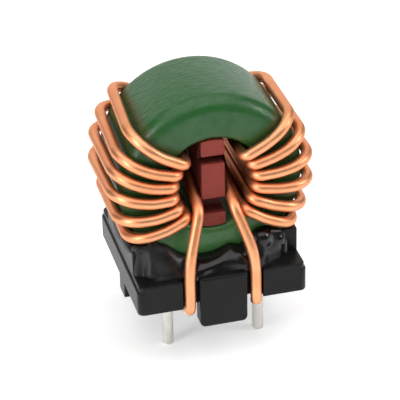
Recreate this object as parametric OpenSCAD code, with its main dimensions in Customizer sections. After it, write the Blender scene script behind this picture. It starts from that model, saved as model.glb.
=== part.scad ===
// Common mode choke: a coated ring core standing on edge in a moulded base,
// with two stiff wire windings, a divider through the bore and four tinned pins.
// Millimetres, Z up, front at -Y. Z = 0 is the seating plane under the feet.

/* [Core] */
// Outside diameter of the coated ring
core_od = 19.8; // [16:0.02:26]
// Bore of the coated ring as a share of its outside diameter
bore_share = 0.5212; // [0.46:0.0001:0.62]
// Width of the coated ring along its axis
core_h = 11.9; // [8:0.1:14]
// Rounding of the coated ring's outer rims
core_round = 1.8; // [0.6:0.05:2]
// Rounding of the coated ring's bore edges
bore_round = 0.9; // [0.4:0.05:1.2]
// Thickness of the green coating
coat_t = 0.35; // [0.2:0.05:0.6]

/* [Base] */
// Height of the feet under the plate
foot_h = 2.5; // [1.8:0.1:4]
// Length of a side foot along the plate's edge
foot_l = 2.4; // [1.6:0.1:4]
// Thickness of a side foot
foot_t = 1.2; // [0.8:0.1:2]
// Rounding of a side foot's lower edges
foot_round = 0.4; // [0.2:0.1:0.8]
// Thickness of the plate
plate_t = 3.4; // [2.6:0.1:5]
// Ledge of the plate in front of and behind the cradle
ledge_d = 2.975; // [2.6:0.005:5]
// Radius of the plate's upright corners
corner_r = 0.7; // [0.3:0.1:1.2]
// Height of the cradle above the plate
wall_h = 2.7; // [1.6:0.1:3.6]
// Thickness of the cradle's side walls at their top
wall_t = 1.58; // [0.8:0.02:2.4]
// Depth that the ring sinks into the plate
sink_d = 0.45; // [0.3:0.01:1.6]
// Play between the ring and its cradle, filled with adhesive
seat_gap = 0.15; // [0.05:0.05:0.4]
// Set-back of the cradle's and plate's upper sides from the side rails
rail_step = 0.2; // [0.1:0.05:0.5]
// Height of the plate's upper edge over the side rails
rail_drop = 0.7; // [0.4:0.05:1.2]

/* [Tabs] */
// Width of the stop tabs at front and back
tab_w = 5.2; // [4:0.1:7]
// Depth of a tab below the plate
tab_d = 1.8; // [1.2:0.1:3]
// How far a tab stands out from the plate
tab_out = 0.2; // [0.1:0.05:0.6]
// How far a tab's lip stands above the plate
tab_up = 0.1; // [0.05:0.05:0.4]
// Depth of a tab's lip
lip_d = 0.8; // [0.4:0.05:0.9]
// Rounding of a tab's lower corners
tab_round = 0.6; // [0.2:0.1:1]
// Rounding of a tab's upper corners
tab_top_round = 0.2; // [0.1:0.05:0.6]
// Depth of the wire notches beside the tabs
notch_d = 0.95; // [0.8:0.05:1.4]
// Play between a lead and the back and outer side of its notch
notch_gap = 0.17; // [0.05:0.01:0.4]
// Gap between a lead and the tab beside it
tab_gap = 0.4; // [0.1:0.05:0.8]

/* [Divider] */
// Thickness of the divider
divider_t = 2.51; // [1.6:0.01:3]
// Set-back of the divider's ends from the ring's faces
divider_back = 0.28; // [0.1:0.02:1]
// Play between the divider and the bore
divider_gap = 0.05; // [0.02:0.01:0.2]
// Height of the middle block
block_h = 4.04; // [2:0.02:6]
// Middle of the middle block over the ring's centre
block_z = 0.28; // [-0.6:0.02:0.6]
// Height of the upper slot
slot_up = 0.98; // [0.6:0.02:1.6]
// Height of the lower slot
slot_low = 1.82; // [0.6:0.02:2.2]
// Depth of the slots
slot_d = 1.6; // [0.6:0.1:3]

/* [Winding] */
// Diameter of the enamelled wire
wire_d = 1.2; // [0.9:0.05:1.3]
// Turns on each side, as far as the bore has room for them
turns = 6; // [4:1:8]
// Gap between the turns in the bore
turn_gap = 0.19; // [0.08:0.01:0.3]
// Middle of the bank in the bore, in degrees over the ring's centre
bank_mid = 0.5; // [-3:0.5:3]
// Gap between the wire and the bore
bore_gap = 0.16; // [0.1:0.02:0.5]
// Gap between the wire and the ring's faces
face_gap = 0.2; // [0.1:0.02:0.5]
// Gap between the lowest turn and the ring's rim at the front
rim_gap_low = 0.1; // [0.06:0.02:0.4]
// Gap between the highest left turn and the ring's rim at the front
rim_gap_left = 0.56; // [0.2:0.02:1]
// Gap between the highest right turn and the ring's rim at the front
rim_gap_right = 0.3; // [0.2:0.02:1]
// Gap between the turns and the ring's rim at the back
rim_gap_back = 0.1; // [0.06:0.02:0.4]
// Gap between the lowest turn and the cradle below it
wall_gap = 0.12; // [0.06:0.01:0.5]
// Angle of the highest turns at the rim
rim_high = 38; // [30:0.5:44]
// Angle by which the lowest left turn stands higher than the right one
left_lift = 6.5; // [0:0.5:10]
// Angle by which the higher turns sag where their strands bend
strand_sag = 4; // [0:0.5:6]
// Bend radius at the bore
bore_bend = 0.8; // [0.7:0.05:1.2]
// Bend radius at the rim
rim_bend = 2.45; // [1.6:0.05:2.6]
// Bend radius of the strands on the ring's front
strand_bend = 6; // [3:0.5:9]
// Place of that bend as a share of the way from the bore to the rim
strand_mid = 0.4; // [0.36:0.02:0.46]

/* [Leads and pins] */
// Distance between the pins across the choke
pin_pitch_x = 10.16; // [7:0.01:14]
// Distance between the front and back pins
pin_pitch_y = 8.3; // [6:0.1:11]
// Length of the pins below the seating plane
pin_l = 4.55; // [2.5:0.05:6]
// Thickness of the tinning on the pins
tin_t = 0.03; // [0.025:0.005:0.06]
// Gap between the plate and the wire ends that run under it
run_gap = 0.1; // [0.05:0.05:0.3]
// Bend radius of the wire ends under the plate
elbow_r = 0.9; // [0.75:0.05:1.2]
// Height over the plate where the leads turn upright
knee_h = 1.8; // [1:0.1:2.5]
// Bend radius of the leads at the knee
knee_bend = 9; // [3:0.5:10]
// Depth below the ring's centre at which the front leads leave the bore
exit_drop = 2.5; // [0.5:0.1:3]
// How far the front leads stand out where they leave the bore
exit_out = 0.1; // [0:0.1:1]
// How far the back leads stand out where they enter the bore
entry_out = 0.2; // [0:0.1:1]
// Bend radius of the leads at the bore
exit_bend = 2; // [1:0.1:2.4]
// Chamfer at the pins' tips
tip_cut = 0.2; // [0.1:0.05:0.3]

/* [Adhesive] */
// Height of the adhesive's highest lump over the cradle's top
lump_h = 0.9; // [0.3:0.1:1.2]
// Share of the ledge that the adhesive's deepest lump covers
lump_share = 0.8; // [0.4:0.02:0.85]
// Thickness of the adhesive that has run over the left wall
spill_t = 0.5; // [0.2:0.05:0.8]
// How far the spill hangs down the left wall
spill_drop = 1.9; // [0.6:0.1:2.4]
// Height of the adhesive bed under the ring over the plate
bed_up = 1.2; // [0.2:0.1:1.4]

/* [Hidden] */
$fn = 64;
eps = 0.01;
wire_sides = 10;
bend_step = 18;
core_r = core_od / 2;
bore_r = core_r * bore_share;
plate_top = foot_h + plate_t;
wall_top = plate_top + wall_h;
core_z = plate_top - sink_d + core_r;
cradle_r = core_r + seat_gap;
cradle_half = sqrt(pow(cradle_r, 2) - pow(core_z - wall_top, 2));
upper_w = 2 * (cradle_half + wall_t);
plate_w = upper_w + 2 * rail_step;
plate_d = core_h + 2 * ledge_d;
lead_x = tab_w / 2 + tab_gap + wire_d / 2;
lead_y = plate_d / 2 - notch_d + notch_gap + wire_d / 2;
notch_x = lead_x + wire_d / 2 + notch_gap;
run_z = foot_h - run_gap - wire_d / 2;
pin_r = wire_d / 2 + tin_t;
pin_tuck = wire_d / 6;
pin_top = run_z - elbow_r - pin_tuck;
pass_r = bore_r - bore_gap - wire_d / 2;
bank_pitch = 2 * asin((wire_d + turn_gap) / (2 * pass_r));
strand_y = core_h / 2 + face_gap + wire_d / 2;
return_x = divider_t / 2 + divider_gap + wire_d / 2;
bank_room = floor(2 * acos(return_x / pass_r) / bank_pitch - 1);
laid = min(turns, bank_room);

// Small hand-wound differences between the turns at the rim, in degrees.
lay_left = [0, 0.7, 3, 2.4, -0.7, 0];
lay_right = [0, -2.4, -0.7, 0.2, 1, 0];
// How far the turns lean up or down on their way to the back, in degrees.
lean_left = [-4, -9, -5.5, -2, 2, 3];
lean_right = [4, 1, -1, -2.5, -3, -5.5];

function mix(a, b, t) = a + (b - a) * t;
function unit(v) = v / norm(v);

// Outline helpers.
module rounded_rect(w, h, r) {
  square([w - 2 * r, h], center = true);
  square([w, h - 2 * r], center = true);
  for (x = [-1, 1], y = [-1, 1])
    translate([x * (w / 2 - r), y * (h / 2 - r)])
      circle(r);
}

module along_y(depth) {
  rotate([90, 0, 0])
    linear_extrude(depth, center = true)
      children();
}

module at_core() {
  translate([0, 0, core_z])
    rotate([90, 0, 0])
      children();
}

// Ring with rounded rims and bore edges, shrunk by a skin on every side.
module ring(skin) {
  h = core_h - 2 * skin;
  r_in = bore_r + skin;
  r_out = core_r - skin;
  a = max(0.2, bore_round - skin);
  b = max(0.2, core_round - skin);
  rotate_extrude() {
    translate([r_in + a, -h / 2])
      square([r_out - b - r_in - a, h]);
    translate([r_in, a - h / 2])
      square([r_out - b - r_in, h - 2 * a]);
    translate([r_in + a, b - h / 2])
      square([r_out - r_in - a, h - 2 * b]);
    for (side = [-1, 1]) {
      translate([r_in + a, side * (h / 2 - a)])
        circle(a);
      translate([r_out - b, side * (h / 2 - b)])
        circle(b);
    }
  }
}

// Base: plate with side rails, saddle-shaped cradle, feet, tabs and notches.
module plate() {
  translate([0, 0, foot_h])
    linear_extrude(plate_t - rail_drop)
      rounded_rect(plate_w, plate_d, corner_r);
  translate([0, 0, plate_top - rail_drop - eps])
    linear_extrude(rail_drop + eps)
      rounded_rect(upper_w, plate_d, corner_r);
}

module cradle_block() {
  translate([0, 0, plate_top - eps])
    linear_extrude(wall_h + eps)
      square([upper_w, core_h], center = true);
}

module ring_pocket() {
  at_core()
    cylinder(r = cradle_r, h = core_h, center = true);
  // the cradle's top stays open above the ring's lower quarter
  translate([0, 0, core_z])
    cube([2 * cradle_half, core_h, 2 * (core_z - wall_top)], center = true);
}

module side_foot(side) {
  translate([side * (plate_w / 2 - rail_step - foot_t / 2), 0, 0])
    rotate([90, 0, 90])
      linear_extrude(foot_t, center = true)
        translate([0, (foot_h + plate_t / 2) / 2])
          rounded_rect(foot_l, foot_h + plate_t / 2, foot_round);
}

module tab_outline(h) {
  translate([0, h / 2])
    rounded_rect(tab_w, h, tab_round);
  translate([0, 3 * h / 4])
    rounded_rect(tab_w, h / 2, tab_top_round);
}

module stop_tab(side) {
  y = side * (plate_d / 2 + tab_out);
  translate([0, y - side * tab_d / 2, 0])
    along_y(tab_d)
      intersection() {
        tab_outline(plate_top + tab_up);
        translate([0, plate_top / 2])
          square([2 * tab_w, plate_top], center = true);
      }
  translate([0, y - side * lip_d / 2, 0])
    along_y(lip_d)
      tab_outline(plate_top + tab_up);
}

module notches(side) {
  for (x = [-1, 1])
    translate([x * (tab_w / 2 + notch_x) / 2, side * plate_d / 2, foot_h + plate_t / 2])
      cube([notch_x - tab_w / 2, 2 * notch_d, 2 * plate_t], center = true);
}

module base() {
  color([0.11, 0.11, 0.115]) {
    difference() {
      union() {
        plate();
        cradle_block();
        for (side = [-1, 1])
          side_foot(side);
      }
      ring_pocket();
      for (side = [-1, 1])
        notches(side);
    }
    for (side = [-1, 1])
      stop_tab(side);
  }
}

// Core: sintered ring and the coating baked over it.
module ferrite_core() {
  color([0.2, 0.2, 0.21])
    at_core()
      ring(coat_t);
}

module core_coating() {
  color([0.26, 0.44, 0.3])
    at_core()
      difference() {
        ring(0);
        ring(coat_t);
      }
}

// Divider: a slotted board that fills the bore from top to bottom.
module divider_slot(z0, z1, side) {
  translate([0, side * (core_h / 2 - divider_back), core_z + (z0 + z1) / 2])
    cube([2 * divider_t, 2 * slot_d, z1 - z0], center = true);
}

module divider() {
  color([0.52, 0.25, 0.22])
    difference() {
      intersection() {
        at_core()
          cylinder(r = bore_r - divider_gap, h = core_h - 2 * divider_back, center = true);
        translate([0, 0, core_z])
          cube([divider_t, core_h, 2 * bore_r], center = true);
      }
      for (side = [-1, 1]) {
        divider_slot(block_z + block_h / 2, block_z + block_h / 2 + slot_up, side);
        divider_slot(block_z - block_h / 2 - slot_low, block_z - block_h / 2, side);
      }
    }
}

// Winding: the route is a list of corners, each a point and its bend radius.
function polar(s, r, a, y) = [s * r * cos(a), y, core_z + r * sin(a)];
function rise(k) = laid > 1 ? (k - 1) / (laid - 1) : 0;
function bore_angle(k) = bank_mid + (k - (laid + 1) / 2) * bank_pitch;
function rim_gap(s, k) = mix(rim_gap_low, s < 0 ? rim_gap_left : rim_gap_right, pow(rise(k), 2));
function rim_r(s, k) = core_r + wire_d / 2 + rim_gap(s, k);
function rim_low(s) =
  (s < 0 ? left_lift : 0) - asin((core_z - wall_top - wall_gap - wire_d / 2) / rim_r(s, 1));
function pick(list, k) = list[(k - 1) % len(list)];
function lay(s, k) = pick(s < 0 ? lay_left : lay_right, k);
function lean(s, k) = pick(s < 0 ? lean_left : lean_right, k);
function rim_angle(s, k) = mix(rim_low(s), rim_high, rise(k)) + lay(s, k);
function mid_angle(s, k) = mix(bore_angle(k), rim_angle(s, k), strand_mid) - strand_sag * rise(k);
function mid_r(s, k) = mix(pass_r, rim_r(s, k), strand_mid);

// From a pin's top under the plate, up through the notch to the knee.
function wire_end(s, y) = [
  [[s * pin_pitch_x / 2, y * pin_pitch_y / 2, pin_top - 4 * pin_tuck], 0],
  [[s * pin_pitch_x / 2, y * pin_pitch_y / 2, run_z], elbow_r],
  [[s * lead_x, y * lead_y, run_z], elbow_r],
  [[s * lead_x, y * lead_y, plate_top + knee_h], knee_bend]
];

// One turn: out of the bore at the front, over the rim and back to the next pass.
function one_turn(s, k) = [
  [polar(s, pass_r, bore_angle(k), -strand_y), bore_bend],
  [polar(s, mid_r(s, k), mid_angle(s, k), -strand_y), strand_bend],
  [polar(s, rim_r(s, k), rim_angle(s, k), -strand_y), rim_bend],
  [polar(s, core_r + wire_d / 2 + rim_gap_back, rim_angle(s, k) + lean(s, k), strand_y), rim_bend],
  k < laid
    ? [polar(s, pass_r, bore_angle(k + 1), strand_y), bore_bend]
    : [[s * return_x, strand_y, core_z + sqrt(pow(pass_r, 2) - pow(return_x, 2))], bore_bend]
];

function reversed(v) = [for (i = [len(v) - 1 : -1 : 0]) v[i]];

// Back pin, bank from bottom to top, then the return pass beside the divider to the front pin.
function wire_corners(s) = concat(
  wire_end(s, 1),
  [[polar(s, pass_r, bore_angle(1), strand_y + entry_out), exit_bend]],
  [for (k = [1 : laid]) each one_turn(s, k)],
  [[[s * return_x, -strand_y - exit_out, core_z - exit_drop], exit_bend]],
  reversed(wire_end(s, -1))
);

// Points along an arc that rounds the corner b between a and c.
function bend(a, b, c, r) =
  let (u = unit(b - a), w = unit(c - b), angle = acos(max(-1, min(1, u * w))))
  angle < 0.5 ? [b] :
  let (v = unit(w - (w * u) * u))
  let (start = b - u * r * tan(angle / 2), n = max(2, ceil(angle / bend_step)))
  [for (j = [0 : n]) start + r * (sin(angle * j / n) * u + (1 - cos(angle * j / n)) * v)];

function route(cs) = [
  cs[0][0],
  for (i = [1 : len(cs) - 2]) each bend(cs[i - 1][0], cs[i][0], cs[i + 1][0], cs[i][1]),
  cs[len(cs) - 1][0]
];

function heading(p, i) =
  i == 0 ? unit(p[1] - p[0]) :
  i == len(p) - 1 ? unit(p[i] - p[i - 1]) :
  unit(unit(p[i] - p[i - 1]) + unit(p[i + 1] - p[i]));

function across(n, t) = unit(n - (n * t) * t);

// Normals carried along the route without twist.
function carried(t) = [
  for (
    i = 0, n = across([1, 0.2, 0], t[0]);
    i < len(t);
    n = across(n, t[min(i + 1, len(t) - 1)]), i = i + 1
  ) n
];

// Solid through a row of outlines with the same number of points; the ends fan out from the first.
module loft(rings) {
  m = len(rings[0]);
  last = len(rings) - 1;
  sides = [
    for (i = [0 : last - 1]) for (j = [0 : m - 1])
      let (a = i * m + j, b = i * m + (j + 1) % m)
      each [[a, a + m, b], [b, a + m, b + m]]
  ];
  ends = [
    for (j = [1 : m - 2])
      each [[0, j, j + 1], [last * m, last * m + j + 1, last * m + j]]
  ];
  polyhedron(points = [for (r = rings) each r], faces = concat(sides, ends));
}

// Tube with the round wire's true section area.
module swept_wire(p) {
  m = wire_sides;
  r = wire_d / 2 * sqrt(2 * PI / (m * sin(360 / m)));
  t = [for (i = [0 : len(p) - 1]) heading(p, i)];
  n = carried(t);
  loft([
    for (i = [0 : len(p) - 1])
      [for (j = [0 : m - 1]) p[i] + r * (cos(360 * j / m) * n[i] + sin(360 * j / m) * cross(t[i], n[i]))]
  ]);
}

module pin(s, y) {
  translate([s * pin_pitch_x / 2, y * pin_pitch_y / 2, 0])
    rotate_extrude()
      polygon([
        [0, -pin_l], [pin_r - tip_cut, -pin_l], [pin_r, -pin_l + tip_cut],
        [pin_r, pin_top], [0, pin_top]
      ]);
}

module winding(s) {
  swept_wire(route(wire_corners(s)));
  for (y = [-1, 1])
    pin(s, y);
}

module winding_left() {
  color([0.8, 0.47, 0.3])
    winding(-1);
}

module winding_right() {
  color([0.8, 0.47, 0.3])
    winding(1);
}

// Adhesive: a bed under the ring, lumps in front of and behind it, and a spill over the left wall.
// Stations of the lumps: place as a share of the cradle's half width, then
// height and depth as shares of the highest and the deepest lump.
stations = [
  [-1.18, 0.78, 0.15],
  [-1.06, 0.98, 0.45],
  [-0.95, 1, 0.66],
  [-0.76, 0.92, 0.75],
  [-0.51, 0.5, 0.7],
  [-0.32, 0.43, 0.98],
  [-0.06, 0.42, 0.96],
  [0.21, 0.6, 0.9],
  [0.33, 0.52, 0.94],
  [0.47, 0.7, 0.86],
  [0.61, 0.97, 0.9],
  [0.78, 1, 0.7],
  [0.97, 0.84, 0.4],
  [1.1, 0.7, 0.15]
];

// Value of a column between two stations, eased in and out.
function eased(x, i, col) =
  let (a = stations[i], b = stations[i + 1], t = (x - a[0]) / (b[0] - a[0]))
  mix(a[col], b[col], (1 - cos(180 * t)) / 2);

// Outline of the lumps across the ledge, fuller than a quarter circle.
function lump_outline(x, h, d) =
  let (y = -core_h / 2)
  [
    [x, y, plate_top],
    for (i = [0 : 8])
      [x, y - d * pow(sin(90 * i / 8), 0.7), plate_top + h * pow(cos(90 * i / 8), 0.7)]
  ];

module lumps() {
  steps = 4;
  top = wall_h + lump_h;
  deep = lump_share * ledge_d;
  loft([
    for (i = [0 : len(stations) - 2]) for (j = [0 : i == len(stations) - 2 ? steps : steps - 1])
      let (x = mix(stations[i][0], stations[i + 1][0], j / steps))
      lump_outline(x * cradle_half, top * eased(x, i, 1), deep * eased(x, i, 2))
  ]);
}

module ring_bed() {
  difference() {
    intersection() {
      at_core()
        cylinder(r = cradle_r, h = core_h, center = true);
      translate([0, 0, plate_top + bed_up - core_r / 2])
        cube([core_od, core_od, core_r], center = true);
    }
    at_core() {
      ring(0);
      cylinder(r = core_r - core_round, h = core_h, center = true);
    }
  }
}

// Spill: lies on the left wall's top, bends over its edge and hangs down outside.
function spill_outline(y, t, drop) =
  let (x0 = -cradle_half - wall_t / 4, x1 = -upper_w / 2)
  [
    [x1, y, wall_top],
    [x1, y, wall_top - drop],
    [x1 - 0.7 * t, y, wall_top - drop],
    for (i = [0 : 4])
      [x1 - t * cos(22.5 * i), y, wall_top + t * sin(22.5 * i)],
    [x0, y, wall_top + 0.8 * t],
    [x0, y, wall_top]
  ];

module spill() {
  loft([
    for (i = [0 : 10])
      let (swell = pow(sin(mix(10, 168, i / 10)), 0.6), y = mix(-0.5, 0.34, i / 10) * core_h)
      spill_outline(y, spill_t * swell, spill_drop * swell)
  ]);
}

module adhesive() {
  color([0.05, 0.05, 0.06]) {
    ring_bed();
    lumps();
    rotate([0, 0, 180])
      lumps();
    spill();
  }
}

base();
ferrite_core();
core_coating();
divider();
winding_left();
winding_right();
adhesive();
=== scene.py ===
import math
import bpy
import bmesh
from mathutils import Matrix, Vector, noise


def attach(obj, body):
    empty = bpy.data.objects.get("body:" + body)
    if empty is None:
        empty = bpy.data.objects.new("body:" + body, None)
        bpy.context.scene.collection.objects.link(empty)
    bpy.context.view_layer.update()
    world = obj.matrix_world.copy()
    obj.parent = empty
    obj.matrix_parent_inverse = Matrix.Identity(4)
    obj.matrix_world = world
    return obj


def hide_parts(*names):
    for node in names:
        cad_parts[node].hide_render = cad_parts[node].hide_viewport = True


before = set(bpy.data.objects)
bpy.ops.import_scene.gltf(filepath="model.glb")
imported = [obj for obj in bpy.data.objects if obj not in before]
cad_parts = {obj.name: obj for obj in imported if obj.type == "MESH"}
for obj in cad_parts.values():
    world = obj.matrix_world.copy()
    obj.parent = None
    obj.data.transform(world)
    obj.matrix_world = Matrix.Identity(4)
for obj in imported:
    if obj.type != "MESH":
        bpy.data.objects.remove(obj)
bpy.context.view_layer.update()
mm = 0.001
scene = bpy.context.scene
scene.view_settings.view_transform = "Standard"
print("frame loaded:", sorted(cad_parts))

# sizes shared by the pieces, in millimetres, the same as in the part's source
choke = {
    "coreRadius": 9.9,
    "boreRadius": 5.16,
    "coreWidth": 11.9,
    "coreRound": 1.8,
    "boreRound": 0.9,
    "coreHeight": 15.35,
    "plateTop": 5.9,
    "wallTop": 8.6,
    "cradleHalf": 7.446,
    "wallOutside": 9.026,
    "wireDia": 1.2,
}


# camera, in millimetres and degrees
cameraSet = {
    "target": (0.0, 0.0, 12.5),
    "azimuth": -14.341,
    "elevation": 29.772,
    "roll": -1.383,
    "distance": 224.72,
    "aimDrop": 1.978,
    "lens": 189.1,
    "sensor": 36,
    "nearest": 10,
    "furthest": 5000,
}


def makeCamera(s):
    a, e, r = (math.radians(s[k]) for k in ("azimuth", "elevation", "roll"))
    back = Vector((math.sin(a) * math.cos(e), -math.cos(a) * math.cos(e), math.sin(e)))
    side = Vector((math.cos(a), math.sin(a), 0))
    up = back.cross(side)
    right = side * math.cos(r) + up * math.sin(r)
    upright = up * math.cos(r) - side * math.sin(r)
    eye = Vector(s["target"]) + back * s["distance"]
    aim = Vector(s["target"]) - upright * s["aimDrop"]
    back = (eye - aim).normalized()
    upright = back.cross(right).normalized()
    right = upright.cross(back)
    data = bpy.data.cameras.new("photoCamera")
    data.lens = s["lens"]
    data.sensor_width = s["sensor"]
    data.clip_start, data.clip_end = s["nearest"] * mm, s["furthest"] * mm
    cam = bpy.data.objects.new("photoCamera", data)
    turn = Matrix((right, upright, back)).transposed()
    cam.matrix_world = Matrix.Translation(eye * mm) @ turn.to_4x4()
    scene.collection.objects.link(cam)
    scene.camera = cam


makeCamera(cameraSet)
print("camera placed")


# node helpers
def addNode(tree, kind, **values):
    node = tree.nodes.new(kind)
    for key, value in values.items():
        setattr(node, key, value)
    return node


def newMaterial(name):
    mat = bpy.data.materials.new(name)
    mat.use_nodes = True
    return mat, mat.node_tree, mat.node_tree.nodes["Principled BSDF"]


def metres(sizes):
    return tuple(size * mm for size in sizes)


def objectAxes(tree):
    coord = addNode(tree, "ShaderNodeTexCoord")
    split = addNode(tree, "ShaderNodeSeparateXYZ")
    tree.links.new(coord.outputs["Object"], split.inputs["Vector"])
    return tuple(split.outputs)


def objectPattern(tree, scale=(1, 1, 1)):
    coord = addNode(tree, "ShaderNodeTexCoord")
    mapping = addNode(tree, "ShaderNodeMapping")
    mapping.inputs["Scale"].default_value = scale
    tree.links.new(coord.outputs["Object"], mapping.inputs["Vector"])
    return mapping.outputs["Vector"]


def noiseField(tree, vector, scale, detail=3, rough=0.55):
    tex = addNode(tree, "ShaderNodeTexNoise")
    tex.inputs["Scale"].default_value = scale
    tex.inputs["Detail"].default_value = detail
    tex.inputs["Roughness"].default_value = rough
    tree.links.new(vector, tex.inputs["Vector"])
    return tex.outputs["Fac"]


def colourRamp(tree, factor, stops):
    ramp = addNode(tree, "ShaderNodeValToRGB")
    for element, (place, colour) in zip(ramp.color_ramp.elements, stops):
        element.position = place
        element.color = (*colour, 1)
    tree.links.new(factor, ramp.inputs["Fac"])
    return ramp.outputs["Color"]


def mixColour(tree, factor, colour, other):
    mix = addNode(tree, "ShaderNodeMix", data_type="RGBA")
    tree.links.new(factor, mix.inputs[0])
    tree.links.new(colour, mix.inputs[6])
    mix.inputs[7].default_value = (*other, 1)
    return mix.outputs[2]


def mapRange(tree, value, span, result):
    node = addNode(tree, "ShaderNodeMapRange")
    tree.links.new(value, node.inputs["Value"])
    names = ("From Min", "From Max", "To Min", "To Max")
    for name, number in zip(names, (*span, *result)):
        node.inputs[name].default_value = number
    return node.outputs["Result"]


def maths(tree, kind, a, b=0):
    node = addNode(tree, "ShaderNodeMath", operation=kind)
    for socket, value in zip(node.inputs, (a, b)):
        if hasattr(value, "links"):
            tree.links.new(value, socket)
        else:
            socket.default_value = value
    return node.outputs["Value"]


def times(tree, a, b):
    return maths(tree, "MULTIPLY", a, b)


def combine(tree, x, y, z):
    node = addNode(tree, "ShaderNodeCombineXYZ")
    for socket, value in zip(node.inputs, (x, y, z)):
        tree.links.new(value, socket)
    return node.outputs["Vector"]


def roundTheRing(tree):
    # way round the ring, way along its axis, and distance from that axis
    x, y, z = objectAxes(tree)
    up = maths(tree, "SUBTRACT", z, choke["coreHeight"] * mm)
    square = maths(tree, "ADD", maths(tree, "POWER", x, 2), maths(tree, "POWER", up, 2))
    return maths(tree, "ARCTAN2", x, up), y, maths(tree, "SQRT", square)


def dress(tree, shader, look, colour, relief, rough=None):
    # colour, roughness and relief, and what is the same all over
    tree.links.new(colour, shader.inputs["Base Color"])
    if rough is not None:
        tree.links.new(rough, shader.inputs["Roughness"])
    for name, value in look["even"].items():
        shader.inputs[name].default_value = value
    strength, depth = look["bump"]
    bump = addNode(tree, "ShaderNodeBump")
    bump.inputs["Strength"].default_value = strength
    bump.inputs["Distance"].default_value = depth * mm
    tree.links.new(relief, bump.inputs["Height"])
    tree.links.new(bump.outputs["Normal"], shader.inputs["Normal"])


# finishes, each with its look: distances in millimetres, ways round the ring in radians
noiseSpan = (0.3, 0.7)  # where most of a noise field lies

lacquerLook = {
    "tones": ((0.3, (0.012, 0.084, 0.016)), (0.7, (0.020, 0.112, 0.024))),
    "strokes": (9, 2600, 700),  # brush strokes: round the ring, along it, outwards
    "patches": 260,
    "wireShade": (0.026, 0.052, 0.013),  # painted shade, olive, where the wires lie over the ring
    "wireShadeStart": (0.74, 0.82),
    "wireShadeEnd": (2.1, 2.6),
    "wireShadeMost": 0.85,
    "wireShadePatches": (0.38, 0.58),
    "wireShadeLeast": 0.4,
    "lower": (0.07, 0.23, 0.06),  # painted light: paler towards the adhesive, where the lower face is lit from the front
    "lowerStart": (2.2, 2.7),
    "lowerMost": 0.6,
    "edge": (0.055, 0.065, 0.018),  # painted shadow of the wire, a dark line beside each bank of wire
    "wireShadowAngle": 0.77,
    "wireShadowFade": (0.01, 0.07),
    "wireShadowMost": 0.7,
    "wireShadowPatches": (0.4, 0.56),
    "wireShadowLeast": 0.25,
    "wireShadowOut": (8.8, 9.5),
    "grain": 1100,
    "grainShare": 0.5,
    "roughness": (0.42, 0.27),
    "even": {"Specular IOR Level": 0.5},
    "bump": (0.22, 0.25),
}


def greenLacquer(look):
    mat, tree, shader = newMaterial("greenLacquer")
    plain = objectPattern(tree)
    ways = roundTheRing(tree)
    angle, far = ways[0], ways[2]
    strokes = [times(tree, way, size) for way, size in zip(ways, look["strokes"])]
    streaks = noiseField(tree, combine(tree, *strokes), 1)
    patches = noiseField(tree, plain, look["patches"])
    colour = colourRamp(tree, streaks, look["tones"])
    turned = maths(tree, "ABSOLUTE", angle)
    # painted shade where the wires lie over the ring, in patches
    wireShade = times(tree, mapRange(tree, turned, look["wireShadeStart"], (0, look["wireShadeMost"])),
                  mapRange(tree, turned, look["wireShadeEnd"], (1, 0)))
    blotches = mapRange(tree, patches, look["wireShadePatches"], (look["wireShadeLeast"], 1))
    colour = mixColour(tree, times(tree, wireShade, blotches), colour, look["wireShade"])
    # painted light: the lower face is paler, as if lit from the front and the floor
    lower = mapRange(tree, turned, look["lowerStart"], (0, look["lowerMost"]))
    colour = mixColour(tree, lower, colour, look["lower"])
    # painted shadow: a dark line on the outer surface where each bank of wire begins
    offWireShadow = maths(tree, "ABSOLUTE", maths(tree, "SUBTRACT", turned, look["wireShadowAngle"]))
    edge = times(tree, mapRange(tree, offWireShadow, look["wireShadowFade"], (look["wireShadowMost"], 0)),
                 mapRange(tree, patches, look["wireShadowPatches"], (look["wireShadowLeast"], 1)))
    edge = times(tree, edge, mapRange(tree, far, metres(look["wireShadowOut"]), (0, 1)))
    colour = mixColour(tree, edge, colour, look["edge"])
    grain = times(tree, noiseField(tree, plain, look["grain"], 2), look["grainShare"])
    rough = mapRange(tree, streaks, noiseSpan, look["roughness"])
    dress(tree, shader, look, colour, maths(tree, "ADD", streaks, grain), rough)
    return mat


copperLook = {
    "tones": ((0.3, (0.94, 0.380, 0.172)), (0.7, (0.99, 0.455, 0.226))),
    "patches": 260,
    "bore": (0.36, 0.11, 0.04),  # painted shade inside the bore, where little light reaches the wire
    "boreAlong": (4.4, 6.0),
    "boreOut": (4.8, 5.6),
    "boreShadeMost": 0.8,
    "grain": 1500,
    "roughness": (0.48, 0.4),
    "even": {"Metallic": 1.0, "Specular Tint": (0.56, 0.4, 0.34, 1),
             "Coat Weight": 0.4, "Coat Roughness": 0.22},
    "bump": (0.04, 0.1),
}


def copperEnamel(look):
    mat, tree, shader = newMaterial("copperEnamel")
    plain = objectPattern(tree)
    tone = noiseField(tree, plain, look["patches"])
    along, far = roundTheRing(tree)[1:]
    ends = maths(tree, "ABSOLUTE", along)
    # painted shade: the wire is darkened deep inside the bore
    boreShade = times(tree, mapRange(tree, ends, metres(look["boreAlong"]), (look["boreShadeMost"], 0)),
                   mapRange(tree, far, metres(look["boreOut"]), (1, 0)))
    colour = mixColour(tree, boreShade, colourRamp(tree, tone, look["tones"]), look["bore"])
    rough = mapRange(tree, tone, noiseSpan, look["roughness"])
    dress(tree, shader, look, colour, noiseField(tree, plain, look["grain"], 2), rough)
    return mat


tinLook = {
    "tones": ((0.3, (0.66, 0.64, 0.59)), (0.7, (0.84, 0.82, 0.77))),
    "drawn": (1, 1, 0.25),  # marks drawn out along the pin
    "patches": 1600,
    "roughness": (0.5, 0.38),
    "even": {"Metallic": 0.75},
    "bump": (0.15, 0.1),
}


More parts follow.
